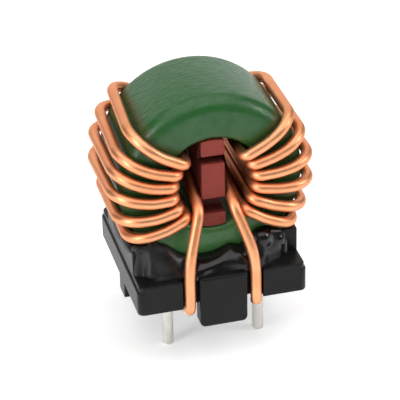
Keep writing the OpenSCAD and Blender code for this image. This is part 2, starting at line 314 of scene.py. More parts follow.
def tinnedSolder(look):
    mat, tree, shader = newMaterial("tinnedSolder")
    tone = noiseField(tree, objectPattern(tree, look["drawn"]), look["patches"], 4)
    rough = mapRange(tree, tone, noiseSpan, look["roughness"])
    dress(tree, shader, look, colourRamp(tree, tone, look["tones"]), tone, rough)
    return mat


mouldingLook = {
    "tones": ((0.3, (0.0065, 0.0065, 0.0066)), (0.7, (0.011, 0.0107, 0.0104))),
    "patches": 420,
    "grain": 3600,
    "roughness": (0.4, 0.28),
    "even": {"Specular IOR Level": 0.2},
    "bump": (0.4, 0.08),
}


def blackMoulding(look):
    mat, tree, shader = newMaterial("blackMoulding")
    plain = objectPattern(tree)
    grain = noiseField(tree, plain, look["grain"], 2)
    tone = noiseField(tree, plain, look["patches"], 4)
    rough = mapRange(tree, grain, noiseSpan, look["roughness"])
    dress(tree, shader, look, colourRamp(tree, tone, look["tones"]), grain, rough)
    return mat


glueLook = {
    "tones": ((0.3, (0.0035, 0.0035, 0.0037)), (0.7, (0.006, 0.006, 0.0066))),
    "patches": 300,
    "grain": 650,
    "glossPatches": (0.35, 0.65),
    "roughness": (0.15, 0.32),
    "satin": 0.26,  # the lump at the left wall has a satin skin
    "satinAcross": (-6.2, -3.8),
    "even": {"Specular IOR Level": 0.5},
    "bump": (0.12, 0.2),
}


def glossAdhesive(look):
    mat, tree, shader = newMaterial("glossAdhesive")
    plain = objectPattern(tree)
    tone = noiseField(tree, plain, look["patches"])
    across = objectAxes(tree)[0]
    satin = mapRange(tree, across, metres(look["satinAcross"]), (look["satin"], 0))
    gloss = mapRange(tree, tone, look["glossPatches"], look["roughness"])
    dress(tree, shader, look, colourRamp(tree, tone, look["tones"]),
          noiseField(tree, plain, look["grain"], 2), maths(tree, "ADD", gloss, satin))
    return mat


boardLook = {
    "tones": ((0.25, (0.265, 0.034, 0.021)), (0.75, (0.32, 0.046, 0.031))),
    "layers": (700, 700, 5200),
    "dust": 2600,
    "speck": (0.45, 0.14, 0.11),
    "speckFrom": (0.58, 0.8),
    "speckMost": 0.2,
    "bore": (0.035, 0.006, 0.005),  # painted shade: dark behind the ends, inside the bore
    "boreAlong": (5.0, 5.55),
    "boreShadeMost": 0.7,
    "roughness": (0.58, 0.7),
    "even": {"Specular IOR Level": 0.5},
    "bump": (0.1, 0.06),
}


def boardFibre(look):
    mat, tree, shader = newMaterial("boardFibre")
    lines = noiseField(tree, objectPattern(tree, look["layers"]), 1)
    dust = noiseField(tree, objectPattern(tree), look["dust"])
    specks = mapRange(tree, dust, look["speckFrom"], (0, look["speckMost"]))
    colour = mixColour(tree, specks, colourRamp(tree, lines, look["tones"]), look["speck"])
    # painted shade: the board is darkened where it lies inside the bore
    ends = maths(tree, "ABSOLUTE", objectAxes(tree)[1])
    boreShade = mapRange(tree, ends, metres(look["boreAlong"]), (look["boreShadeMost"], 0))
    colour = mixColour(tree, boreShade, colour, look["bore"])
    rough = mapRange(tree, dust, noiseSpan, look["roughness"])
    dress(tree, shader, look, colour, lines, rough)
    return mat


ferriteLook = {
    "tones": ((0.3, (0.03, 0.03, 0.034)), (0.7, (0.055, 0.055, 0.06))),
    "grain": 2600,
    "even": {"Roughness": 0.7},
    "bump": (0.2, 0.08),
}


def sinteredFerrite(look):
    mat, tree, shader = newMaterial("sinteredFerrite")
    grain = noiseField(tree, objectPattern(tree), look["grain"])
    dress(tree, shader, look, colourRamp(tree, grain, look["tones"]), grain)
    return mat


finishes = {
    "lacquer": greenLacquer(lacquerLook),
    "copper": copperEnamel(copperLook),
    "tin": tinnedSolder(tinLook),
    "moulding": blackMoulding(mouldingLook),
    "adhesive": glossAdhesive(glueLook),
    "board": boardFibre(boardLook),
    "ferrite": sinteredFerrite(ferriteLook),
}
print("finishes ready:", len(finishes))


# making pieces
def linkObject(name, mesh):
    obj = bpy.data.objects.new(name, mesh)
    scene.collection.objects.link(obj)
    return obj


def settle(obj, material, name):
    # the evaluated shape becomes a plain mesh, and its modifiers go
    graph = bpy.context.evaluated_depsgraph_get()
    mesh = bpy.data.meshes.new_from_object(obj.evaluated_get(graph))
    mesh.name = name
    obj.modifiers.clear()
    obj.data = mesh
    mesh.materials.clear()
    mesh.materials.append(material)
    for face in mesh.polygons:
        face.material_index = 0
        face.use_smooth = True
    return obj


def joinToRoot(obj, slot, *nodes):
    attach(obj, "root")
    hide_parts(*nodes)


def newTree(name, sizes=(), counts=(), objects=()):
    tree = bpy.data.node_groups.new(name, "GeometryNodeTree")
    kinds = {"Float": sizes, "Int": counts, "Object": objects, "Material": ("Finish",)}
    tree.interface.new_socket("Geometry", in_out="INPUT", socket_type="NodeSocketGeometry")
    for kind, labels in kinds.items():
        for label in labels:
            tree.interface.new_socket(label, in_out="INPUT", socket_type="NodeSocket" + kind)
    tree.interface.new_socket("Geometry", in_out="OUTPUT", socket_type="NodeSocketGeometry")
    return tree, addNode(tree, "NodeGroupInput"), addNode(tree, "NodeGroupOutput")


def closeTree(tree, geometry, given, out):
    smooth = addNode(tree, "GeometryNodeSetShadeSmooth")
    real = addNode(tree, "GeometryNodeRealizeInstances")
    paint = addNode(tree, "GeometryNodeSetMaterial")
    tree.links.new(geometry, smooth.inputs["Geometry"])
    tree.links.new(smooth.outputs["Geometry"], real.inputs["Geometry"])
    tree.links.new(real.outputs["Geometry"], paint.inputs["Geometry"])
    tree.links.new(given.outputs["Finish"], paint.inputs["Material"])
    tree.links.new(paint.outputs["Geometry"], out.inputs["Geometry"])


def runTree(obj, tree, finish, name, values):
    # inputs go in by identifier, before the tree first runs
    modifier = obj.modifiers.new(tree.name, "NODES")
    modifier.node_group = tree
    values = {"Finish": finish, **values}
    for item in tree.interface.items_tree:
        if item.item_type == "SOCKET" and item.in_out == "INPUT" and item.name in values:
            modifier[item.identifier] = values[item.name]
    return settle(obj, finish, name)


def closedMesh(work, name):
    # plain mesh of the finished work, its faces pointing outwards
    bmesh.ops.recalc_face_normals(work, faces=work.faces)
    mesh = bpy.data.meshes.new(name)
    work.to_mesh(mesh)
    work.free()
    return mesh


def loftMesh(work, rings):
    rows = [[work.verts.new(p) for p in ring] for ring in rings]
    for a, b in zip(rows, rows[1:]):
        for i in range(len(a)):
            j = (i + 1) % len(a)
            work.faces.new((a[i], a[j], b[j], b[i]))
    work.faces.new(rows[0])
    work.faces.new(rows[-1][::-1])


straight = 0.005  # radians: a smaller corner is left as it is


def bendPoints(a, b, c, r, step):
    # an arc in place of the corner at b, on the way from a to c
    u, v = (b - a).normalized(), (c - b).normalized()
    angle = math.acos(max(-1, min(1, u.dot(v))))
    if r <= 0 or angle < straight:
        return [b]
    across = (v - u * v.dot(u)).normalized()
    start = b - u * r * math.tan(angle / 2)
    count = max(2, math.ceil(math.degrees(angle) / step))
    turns = [angle * j / count for j in range(count + 1)]
    return [start + u * (r * math.sin(t)) + across * (r * (1 - math.cos(t))) for t in turns]


# windings: one stiff wire a side, from pin to pin; left is -1, right is 1
winding = {
    "turns": 6,
    "turnGap": 0.19,
    "bankMid": 0.5,
    "passRadius": 4.4,
    "strandY": 6.75,
    "rimGapLow": 0.1,
    "rimGapHigh": {-1: 0.56, 1: 0.3},
    "rimGapBack": 0.1,
    "wallGap": 0.12,
    "rimHigh": 38,
    "lowLift": {-1: 6.5, 1: 0},
    "strandSag": 4,
    "boreBend": 0.8,
    "rimBend": 2.45,
    "bendGain": {-1: 0.8, 1: 0.5},
    "strandBend": 6,
    "strandMid": 0.4,
    "bendStep": 8,
    "pinX": 5.08,
    "pinY": 4.15,
    "pinLength": 4.55,
    "runZ": 1.8,
    "elbow": 0.9,
    "leadX": 3.6,
    "leadY": 8.745,
    "knee": 7.7,
    "kneeBend": 9,
    "returnX": 1.905,
    "exitDrop": 2.5,
    "exitOut": 0.1,
    "entryOut": 0.2,
    "exitBend": 2,
    # degrees by which each turn lies off its even place, at the front rim and behind
    "lay": {-1: (0, 0.7, 3, 2.4, -0.7, 0), 1: (0, -2.4, -0.7, 0.2, 1, 0)},
    "lean": {-1: (-4, -9, -5.5, -2, 2, 3), 1: (4, 1, -1, -2.5, -3, -5.5)},
    "sides": 20,
    "spacing": 0.16,
    "tinTop": 2.15,
    "tinPast": 7,  # the leads are further from the middle than this
    "tinCoat": 0.005,
    "tinTaper": 0.5,
    "tinSides": 24,
    "tinSpacing": 0.1,
    "pinRadius": 0.63,
    "tipCut": 0.2,
}


def windingCorners(s, w):
    n, zc, y = w["turns"], choke["coreHeight"], w["strandY"]
    half, share = choke["wireDia"] / 2, w["strandMid"]
    pitch = 2 * math.degrees(math.asin((choke["wireDia"] + w["turnGap"]) / (2 * w["passRadius"])))

    def polar(r, angle, y):
        a = math.radians(angle)
        return Vector((s * r * math.cos(a), y, zc + r * math.sin(a)))

    def boreAngle(k):
        return w["bankMid"] + (k - (n + 1) / 2) * pitch

    def rimRadius(k):
        t = ((k - 1) / (n - 1)) ** 2
        return choke["coreRadius"] + half + w["rimGapLow"] * (1 - t) + w["rimGapHigh"][s] * t

    def wireEnd(end):
        return [
            (Vector((s * w["pinX"], end * w["pinY"], -w["pinLength"])), 0),
            (Vector((s * w["pinX"], end * w["pinY"], w["runZ"])), w["elbow"]),
            (Vector((s * w["leadX"], end * w["leadY"], w["runZ"])), w["elbow"]),
            (Vector((s * w["leadX"], end * w["leadY"], w["knee"])), w["kneeBend"]),
        ]

    drop = zc - choke["wallTop"] - w["wallGap"] - half
    rimLow = w["lowLift"][s] - math.degrees(math.asin(drop / rimRadius(1)))
    backRadius = choke["coreRadius"] + half + w["rimGapBack"]
    entry = polar(w["passRadius"], boreAngle(1), y + w["entryOut"])
    corners = wireEnd(1) + [(entry, w["exitBend"])]
    for k in range(1, n + 1):
        rise = (k - 1) / (n - 1)
        rim = rimLow + (w["rimHigh"] - rimLow) * rise + w["lay"][s][k - 1]
        middle = boreAngle(k) * (1 - share) + rim * share - w["strandSag"] * rise
        middleRadius = w["passRadius"] * (1 - share) + rimRadius(k) * share
        corners += [
            (polar(w["passRadius"], boreAngle(k), -y), w["boreBend"]),
            (polar(middleRadius, middle, -y), w["strandBend"]),
            (polar(rimRadius(k), rim, -y), w["rimBend"] + w["bendGain"][s] * rise),
            (polar(backRadius, rim + w["lean"][s][k - 1], y), w["rimBend"]),
        ]
        if k < n:
            corners.append((polar(w["passRadius"], boreAngle(k + 1), y), w["boreBend"]))
    over = math.sqrt(w["passRadius"] ** 2 - w["returnX"] ** 2)
    corners.append((Vector((s * w["returnX"], y, zc + over)), w["boreBend"]))
    out = Vector((s * w["returnX"], -y - w["exitOut"], zc - w["exitDrop"]))
    corners.append((out, w["exitBend"]))
    return corners + wireEnd(-1)[::-1]


def fittedBends(corners):
    # a bend is made tighter where it would run into the next one
    least = 1e-6  # for a straight run, which needs no room
    places = [p for p, _ in corners]
    legs = [(b - a).length for a, b in zip(places, places[1:])]
    reach = [0.0]
    for a, (b, r), c in zip(places, corners[1:-1], places[2:]):
        reach.append(r * math.tan((b - a).angle(c - b) / 2))
    reach.append(0.0)
    bends = [0.0]
    for k in range(1, len(corners) - 1):
        before = legs[k - 1] / max(reach[k - 1] + reach[k], least)
        after = legs[k] / max(reach[k] + reach[k + 1], least)
        bends.append(corners[k][1] * min(1, before, after))
    return bends + [0.0]


def roundedRoute(corners, step):
    places = [p for p, _ in corners]
    points = [places[0]]
    for a, b, c, r in zip(places, places[1:], places[2:], fittedBends(corners)[1:]):
        points += bendPoints(a, b, c, r, step)
    return points + [places[-1]]


def splitAtTin(points, w):
    # the copper run between the tinned ends, and the two ends from the top down
    level = w["tinTop"]
    bare = [i for i, p in enumerate(points) if p.z > level and abs(p.y) > w["tinPast"]]
    first, last = bare[0], bare[-1]

    def cut(a, b):
        return a.lerp(b, (level - a.z) / (b.z - a.z))

    start, end = cut(points[first - 1], points[first]), cut(points[last + 1], points[last])
    copper = [start] + points[first:last + 1] + [end]
    return copper, [[start] + points[first - 1::-1], [end] + points[last + 1:]]


def pathMesh(name, runs):
    mesh = bpy.data.meshes.new(name)
    verts, edges = [], []
    for run in runs:
        first = len(verts)
        verts += [p * mm for p in run]
        edges += [(first + i, first + i + 1) for i in range(len(run) - 1)]
    mesh.from_pydata(verts, edges, [])
    return mesh


def evenCurve(tree, given):
    # the path as a curve with evenly spaced points
    curve = addNode(tree, "GeometryNodeMeshToCurve")
    even = addNode(tree, "GeometryNodeResampleCurve", mode="LENGTH")
    tree.links.new(given.outputs["Geometry"], curve.inputs["Mesh"])
    tree.links.new(curve.outputs["Curve"], even.inputs["Curve"])
    tree.links.new(given.outputs["Spacing"], even.inputs["Length"])
    return even.outputs["Curve"]


def wireSweepTree():
    tree, given, out = newTree("wireSweep", ("Wire Radius", "Spacing"), ("Sides",))
    link = tree.links.new
    section = addNode(tree, "GeometryNodeCurvePrimitiveCircle")
    link(given.outputs["Sides"], section.inputs["Resolution"])
    link(given.outputs["Wire Radius"], section.inputs["Radius"])
    sweep = addNode(tree, "GeometryNodeCurveToMesh")
    sweep.inputs["Fill Caps"].default_value = True
    link(evenCurve(tree, given), sweep.inputs["Curve"])
    link(section.outputs["Curve"], sweep.inputs["Profile Curve"])
    closeTree(tree, sweep.outputs["Mesh"], given, out)
    return tree


def tinnedEndTree():
    # radius eases in from the bare wire and is cut back at the tip
    sizes = ("Wire Radius", "Pin Radius", "Taper", "Tip Cut", "Spacing")
    tree, given, out = newTree("tinnedEnd", sizes, ("Sides",))
    link = tree.links.new
    along = addNode(tree, "GeometryNodeSplineParameter")
    whole = addNode(tree, "GeometryNodeSplineLength")
    left = maths(tree, "SUBTRACT", whole.outputs["Length"], along.outputs["Length"])
    ease = addNode(tree, "ShaderNodeMapRange", interpolation_type="SMOOTHSTEP")
    link(along.outputs["Length"], ease.inputs["Value"])
    link(given.outputs["Taper"], ease.inputs["From Max"])
    link(given.outputs["Wire Radius"], ease.inputs["To Min"])
    link(given.outputs["Pin Radius"], ease.inputs["To Max"])
    tip = addNode(tree, "ShaderNodeMapRange")
    link(left, tip.inputs["Value"])
    link(given.outputs["Tip Cut"], tip.inputs["From Max"])
    link(given.outputs["Tip Cut"], tip.inputs["To Min"])
    tip.inputs["To Max"].default_value = 0
    radius = maths(tree, "SUBTRACT", ease.outputs["Result"], tip.outputs["Result"])
    section = addNode(tree, "GeometryNodeCurvePrimitiveCircle")
    section.inputs["Radius"].default_value = 1
    link(given.outputs["Sides"], section.inputs["Resolution"])
    sweep = addNode(tree, "GeometryNodeCurveToMesh")
    sweep.inputs["Fill Caps"].default_value = True
    link(evenCurve(tree, given), sweep.inputs["Curve"])
    link(radius, sweep.inputs["Scale"])
    link(section.outputs["Curve"], sweep.inputs["Profile Curve"])
    closeTree(tree, sweep.outputs["Mesh"], given, out)
    return tree


wireTree, tinTree = wireSweepTree(), tinnedEndTree()
wireRadius = choke["wireDia"] / 2
for sideName, sign in (("left", -1), ("right", 1)):
    route = roundedRoute(windingCorners(sign, winding), winding["bendStep"])
    copperRun, tinRuns = splitAtTin(route, winding)
    wire = linkObject("winding_" + sideName + "_copper", pathMesh("route", [copperRun]))
    runTree(wire, wireTree, finishes["copper"], "winding_" + sideName, {
        "Wire Radius": wireRadius * mm, "Spacing": winding["spacing"] * mm,
        "Sides": winding["sides"]})
    joinToRoot(wire, "enamelled_copper", "winding_" + sideName)
    pins = linkObject("winding_" + sideName + "_tinned", pathMesh("ends", tinRuns))
    runTree(pins, tinTree, finishes["tin"], "pins_" + sideName, {
        "Wire Radius": (wireRadius + winding["tinCoat"]) * mm,
        "Pin Radius": winding["pinRadius"] * mm, "Taper": winding["tinTaper"] * mm,
        "Tip Cut": winding["tipCut"] * mm, "Spacing": winding["tinSpacing"] * mm,
        "Sides": winding["tinSides"]})
    joinToRoot(pins, "tinned_wire", "winding_" + sideName)
    print("winding", sideName, len(wire.data.polygons), "faces, pins", len(pins.data.polygons))


# ring: lacquered core, a rounded outline swept round the bore
ring = {"around": 220, "corner": 8, "unevenness": 0.03, "waves": 260, "waveDetail": 2}


def ringTree(s):
    sizes = ("Outer Radius", "Bore Radius", "Width", "Rim Rounding", "Bore Rounding",
             "Unevenness", "Height")
    tree, given, out = newTree("lacqueredRing", sizes, ("Corner Steps", "Around"))
    link = tree.links.new
    outer, bore = given.outputs["Outer Radius"], given.outputs["Bore Radius"]
    path = addNode(tree, "GeometryNodeCurvePrimitiveCircle")
    link(times(tree, maths(tree, "ADD", outer, bore), 0.5), path.inputs["Radius"])
    link(given.outputs["Around"], path.inputs["Resolution"])
    outline = addNode(tree, "GeometryNodeCurvePrimitiveQuadrilateral")
    link(maths(tree, "SUBTRACT", outer, bore), outline.inputs["Width"])
    link(given.outputs["Width"], outline.inputs["Height"])
    # the outer rims are rounder than the bore's
    fillet = addNode(tree, "GeometryNodeFilletCurve", mode="POLY")
    link(outline.outputs["Curve"], fillet.inputs["Curve"])
    link(given.outputs["Corner Steps"], fillet.inputs["Count"])
    place = addNode(tree, "GeometryNodeInputPosition")
    split = addNode(tree, "ShaderNodeSeparateXYZ")
    link(place.outputs["Position"], split.inputs["Vector"])
    atBore = addNode(tree, "FunctionNodeCompare", data_type="FLOAT", operation="LESS_THAN")
    link(split.outputs["X"], atBore.inputs["A"])
    choice = addNode(tree, "GeometryNodeSwitch", input_type="FLOAT")
    link(atBore.outputs["Result"], choice.inputs["Switch"])
    link(given.outputs["Rim Rounding"], choice.inputs["False"])
    link(given.outputs["Bore Rounding"], choice.inputs["True"])
    link(choice.outputs["Output"], fillet.inputs["Radius"])
    fine = addNode(tree, "GeometryNodeSubdivideCurve")
    fine.inputs["Cuts"].default_value = 1
    link(fillet.outputs["Curve"], fine.inputs["Curve"])
    sweep = addNode(tree, "GeometryNodeCurveToMesh")
    link(path.outputs["Curve"], sweep.inputs["Curve"])
    link(fine.outputs["Curve"], sweep.inputs["Profile Curve"])
    stand = addNode(tree, "GeometryNodeTransform")
    stand.inputs["Rotation"].default_value = (math.pi / 2, 0, 0)
    lift = addNode(tree, "ShaderNodeCombineXYZ")
    link(given.outputs["Height"], lift.inputs["Z"])
    link(lift.outputs["Vector"], stand.inputs["Translation"])
    link(sweep.outputs["Mesh"], stand.inputs["Geometry"])
    # the lacquer is a little thinner here and there
    waves = addNode(tree, "ShaderNodeTexNoise")
    waves.inputs["Scale"].default_value = s["waves"]
    waves.inputs["Detail"].default_value = s["waveDetail"]
    normal = addNode(tree, "GeometryNodeInputNormal")
    sink = addNode(tree, "ShaderNodeVectorMath", operation="SCALE")
    link(normal.outputs["Normal"], sink.inputs[0])
    depth = times(tree, waves.outputs["Fac"], given.outputs["Unevenness"])
    link(times(tree, depth, -1), sink.inputs["Scale"])
    move = addNode(tree, "GeometryNodeSetPosition")
    link(stand.outputs["Geometry"], move.inputs["Geometry"])
    link(sink.outputs["Vector"], move.inputs["Offset"])
    closeTree(tree, move.outputs["Geometry"], given, out)
    return tree


core = linkObject("lacquered_ring", bpy.data.meshes.new("ring"))
runTree(core, ringTree(ring), finishes["lacquer"], "lacquered_ring", {
    "Outer Radius": choke["coreRadius"] * mm, "Bore Radius": choke["boreRadius"] * mm,
    "Width": choke["coreWidth"] * mm, "Rim Rounding": choke["coreRound"] * mm,
    "Bore Rounding": choke["boreRound"] * mm, "Unevenness": ring["unevenness"] * mm,
    "Height": choke["coreHeight"] * mm, "Corner Steps": ring["corner"],
    "Around": ring["around"]})
joinToRoot(core, "green_coating", "core_coating")
print("ring", len(core.data.polygons), "faces")


# base: prisms with rounded rims, joined and cut for the ring
moulding = {
    "plateHalf": 9.226,
    "upperHalf": 9.026,
    "depthHalf": 8.925,
    "cornerRound": 0.7,
    "underside": 2.5,
    "railTop": 5.2,
    "upperSink": 0.6,
    "notchIn": 2.6,
    "notchOut": 4.37,
    "notchBack": 7.975,
    "notchLip": 0.12,
    "notchRound": 0.25,
    "cradleRadius": 10.05,
    "wallSink": 0.1,
    "wallRound": 0.18,
    "wallSteps": 14,
    "overlap": 0.35,
    "bedSteps": 180,
    "tabOut": 0.2,
    "tabDepth": 1.8,
    "tabTop": 6.0,
    "tabSeat": 0.2,
    "tabRound": 0.6,
    "tabTopRound": 0.2,
    "lipDepth": 0.8,
    "footHalf": 1.2,
    "footThick": 1.2,
    "footRound": 0.4,
    "footSink": 1,
    "rim": 0.16,
    "tabRim": 0.24,
    "rimSteps": 4,
    "arcStep": 10,
    "weld": 0.002,
    "sharpFrom": 38,
}


def roundedOutline(corners, step):
    # corners of a flat outline, each with its own radius
    places = [Vector(p) for p, _ in corners]
    points = []
    for k, (_, r) in enumerate(corners):
        points += bendPoints(places[k - 1], places[k], places[(k + 1) % len(places)], r, step)
    return points


def insetOutline(points, amount):
    moved = []
    area = sum(a.x * b.y - b.x * a.y for a, b in zip(points, points[1:] + points[:1]))
    turn = 1 if area > 0 else -1
    for k, b in enumerate(points):
        a, c = points[k - 1], points[(k + 1) % len(points)]
        u, v = (b - a).normalized(), (c - b).normalized()
        n1, n2 = Vector((-u.y, u.x)) * turn, Vector((-v.y, v.x)) * turn
        moved.append(b + (n1 + n2) * (amount / (1 + n1.dot(n2))))
    return moved


def prism(work, outline, place, low, high, rim, steps):
    # outline points go through place(u, v, depth); both ends get a rounded rim
    quarter = [math.pi / 2 * i / steps for i in range(steps + 1)]
    rows = [(rim * (1 - math.sin(q)), low + rim * (1 - math.cos(q))) for q in quarter]
    rows += [(rim * (1 - math.sin(q)), high - rim * (1 - math.cos(q))) for q in reversed(quarter)]
    rings = []
    for inset, depth in rows:
        rings.append([place(p.x, p.y, depth) * mm for p in insetOutline(outline, inset)])
    loftMesh(work, rings)


def layFlat(u, v, depth):
    return Vector((u, v, depth))


def standAcross(u, v, depth):
    return Vector((u, depth, v))


def standAlong(u, v, depth):
    return Vector((depth, u, v))


def plateOutline(s, half):
    # the front's left half, then its right half, then the back
    d, back, near, far = s["depthHalf"], s["notchBack"], s["notchIn"], s["notchOut"]
    left = [((-half, -d), s["cornerRound"]), ((-far, -d), s["notchLip"]),
            ((-far, -back), s["notchRound"]), ((-near, -back), 0), ((-near, -d), 0)]
    front = left + [((-x, y), r) for (x, y), r in reversed(left)]
    return roundedOutline(front + [((-x, -y), r) for (x, y), r in front], s["arcStep"])


def wallOutline(s, side):
    # one side of the cradle, its inner edge following the ring
    zc, top, edge = choke["coreHeight"], choke["wallTop"], side * s["upperHalf"]
    r, low = s["cradleRadius"] - s["overlap"], choke["plateTop"] - s["wallSink"]
    start, end = math.asin((top - zc) / r), math.asin((low - zc) / r)
    corners = [((edge, low), 0), ((edge, top), s["wallRound"])]
    for i in range(s["wallSteps"] + 1):
        a = start + (end - start) * i / s["wallSteps"]
        corners.append(((side * r * math.cos(a), zc + r * math.sin(a)), 0))
    return roundedOutline(corners, s["arcStep"])


def boxOutline(half, high, lowRound, highRound, step):
    corners = [((-half, 0), lowRound), ((half, 0), lowRound),
               ((half, high), highRound), ((-half, high), highRound)]
    return roundedOutline(corners, step)


def baseParts(s):
    # each prism: outline, how it stands, where it starts and ends, rim
    plateTop, half, step = choke["plateTop"], choke["coreWidth"] / 2, s["arcStep"]
    front, edge = s["depthHalf"] + s["tabOut"], s["upperHalf"]
    low = s["underside"]
    parts = [
        (plateOutline(s, s["plateHalf"]), layFlat, low, s["railTop"], s["rim"]),
        (plateOutline(s, edge), layFlat, low + s["upperSink"], plateTop, s["rim"])]
    tabs = ((s["tabDepth"], plateTop - s["tabSeat"]), (s["lipDepth"], s["tabTop"]))
    for side in (-1, 1):
        parts.append((wallOutline(s, side), standAcross, -half, half, s["rim"]))
        for deep, high in tabs:
            tab = boxOutline(s["notchIn"], high, s["tabRound"], s["tabTopRound"], step)
            ends = sorted((side * front, side * (front - deep)))
            parts.append((tab, standAcross, *ends, s["tabRim"]))
        foot = boxOutline(s["footHalf"], low + s["footSink"], s["footRound"], 0, step)
        ends = sorted((side * edge, side * (edge - s["footThick"])))
        parts.append((foot, standAlong, *ends, s["rim"]))
    return parts


def solidMesh(s):
    work = bmesh.new()
    for part in baseParts(s):
        prism(work, *part, s["rimSteps"])
    return closedMesh(work, "moulded_base")


def pocketMesh(s):
    # the ring's bed, taken out of the joined prisms
    zc, r, half = choke["coreHeight"], s["cradleRadius"], choke["coreWidth"] / 2
    turns = [math.tau * i / s["bedSteps"] for i in range(s["bedSteps"])]
    outline = [(r * math.cos(a), zc + r * math.sin(a)) for a in turns]
    work = bmesh.new()
    loftMesh(work, [[Vector((x, y, z)) * mm for x, z in outline] for y in (-half, half)])
    return closedMesh(work, "pocket")


def joinTree():
    tree, given, out = newTree("joinAndCut", objects=("Pocket",))
    link = tree.links.new
    union = addNode(tree, "GeometryNodeMeshBoolean", operation="UNION", solver="EXACT")
    union.inputs["Self Intersection"].default_value = True
    link(given.outputs["Geometry"], union.inputs["Mesh 2"])
    cutter = addNode(tree, "GeometryNodeObjectInfo")
    link(given.outputs["Pocket"], cutter.inputs["Object"])
    cut = addNode(tree, "GeometryNodeMeshBoolean", operation="DIFFERENCE", solver="EXACT")
    link(union.outputs["Mesh"], cut.inputs["Mesh 1"])
    link(cutter.outputs["Geometry"], cut.inputs["Mesh 2"])
    closeTree(tree, cut.outputs["Mesh"], given, out)
    return tree


def markSharp(mesh, s):
    work = bmesh.new()
    work.from_mesh(mesh)
    bmesh.ops.remove_doubles(work, verts=work.verts, dist=s["weld"] * mm)
    limit = math.radians(s["sharpFrom"])
    for edge in work.edges:
        edge.smooth = len(edge.link_faces) == 2 and edge.calc_face_angle() < limit
    work.to_mesh(mesh)
    work.free()


base = linkObject("moulded_base", solidMesh(moulding))
pocket = linkObject("pocket", pocketMesh(moulding))
runTree(base, joinTree(), finishes["moulding"], "moulded_base", {"Pocket": pocket})
bpy.data.objects.remove(pocket)
markSharp(base.data, moulding)
flatFaces = base.modifiers.new("flatFaces", "WEIGHTED_NORMAL")
flatFaces.keep_sharp = True
settle(base, finishes["moulding"], "moulded_base")
joinToRoot(base, "base_plastic", "base")
print("base", len(base.data.polygons), "faces")


# divider: the board with its edges eased
board = {"edge": 0.07, "steps": 2, "edgeFrom": 28, "weld": 0.001, "flatWithin": 0.6}


def easedBoard(s):
    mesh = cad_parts["divider"].data.copy()
    mesh.materials.clear()
    work = bmesh.new()
    work.from_mesh(mesh)
    bmesh.ops.remove_doubles(work, verts=work.verts, dist=s["weld"] * mm)
    bmesh.ops.dissolve_limit(work, angle_limit=math.radians(s["flatWithin"]),
                             verts=work.verts, edges=work.edges)
    for face in work.faces:
        face.smooth = True
    work.to_mesh(mesh)
    work.free()
    obj = linkObject("divider_board", mesh)
    soft = obj.modifiers.new("easedEdges", "BEVEL")
    soft.limit_method = "ANGLE"
    soft.angle_limit = math.radians(s["edgeFrom"])
    soft.width = s["edge"] * mm
    soft.segments = s["steps"]
    soft.use_clamp_overlap = False
    soft.harden_normals = True
    return settle(obj, finishes["board"], "divider_board")


divider = easedBoard(board)
joinToRoot(divider, "divider_board", "divider")
print("divider", len(divider.data.polygons), "faces")


# adhesive: lumps in front of and behind the ring, and a spill over the left wall
glue = {
    "top": 3.6,
    "deep": 2.38,
    # from left to right: place across the cradle, height, depth, bulge of the profile
    "stations": (
        (-1.2, 0.3, 0.03, 1.2), (-1.15, 0.7, 0.1, 1.2), (-1.07, 0.84, 0.2, 1.35),
        (-1.0, 0.94, 0.55, 1.4), (-0.93, 0.97, 0.7, 1.45), (-0.85, 0.98, 0.75, 1.45),
        (-0.72, 0.88, 0.77, 1.4), (-0.62, 0.7, 0.76, 1.4), (-0.5, 0.5, 0.72, 1.3),
        (-0.32, 0.43, 0.98, 0.85), (-0.06, 0.42, 0.96, 0.8), (0.21, 0.6, 0.9, 0.85),
        (0.33, 0.52, 0.94, 0.9), (0.47, 0.7, 0.86, 1.1), (0.61, 0.97, 0.9, 1.15),
        (0.71, 1, 0.7, 1.15), (0.8, 0.98, 0.56, 1.15), (0.91, 0.86, 0.4, 1.15),
        (1.02, 0.7, 0.1, 1.15), (1.08, 0.4, 0.03, 1.15)),
    "between": 6,
    "arcSteps": 12,
    "wobble": 0.2,
    "wobbleAcross": 0.45,
    "wobbleUp": 1.2,
    "foot": 0.22,
    "footHigh": 0.6,
    "tuck": 0.4,
    # middle, half sizes and tilt
    "blobs": (
        ((4.9, -6.3, 8.2), (1.25, 1.2, 1.3), 0), ((2.3, -7.2, 6.7), (0.85, 0.9, 1.0), -10),
        ((6.7, -6.1, 7.4), (1.0, 0.65, 1.0), 0)),
    # start, end and radius
    "ridges": (
        ((-7.2, -6.9, 6.2), (-6.8, -5.65, 9.1), 0.72),
        ((-6.95, -5.9, 8.9), (-8.4, -5.6, 8.8), 0.55)),
    "ridgeSteps": 12,
    "ballDetail": 3,
    "spillThick": 0.5,
    "spillDrop": 1.5,
    "spillMid": 0.45,
    "spillFrom": -0.45,
    "spillSpan": 0.78,
    "spillSteps": 24,
    "spillEnd": 6,
    "spillEase": 0.6,
    "spillArc": (-75, 90, 15),
    "spillLap": 0.3,
    "spillIn": 0.4,
    "spillInTop": 0.8,
    "voxel": 0.1,
    "smooth": 26,
    "smoothShare": 0.5,
}


def throughPoints(a, b, c, d, t):
    # smooth curve from b to c, led by its neighbours
    return b + 0.5 * t * (c - a + t * (2 * a - 5 * b + 4 * c - d + t * (3 * (b - c) + d - a)))


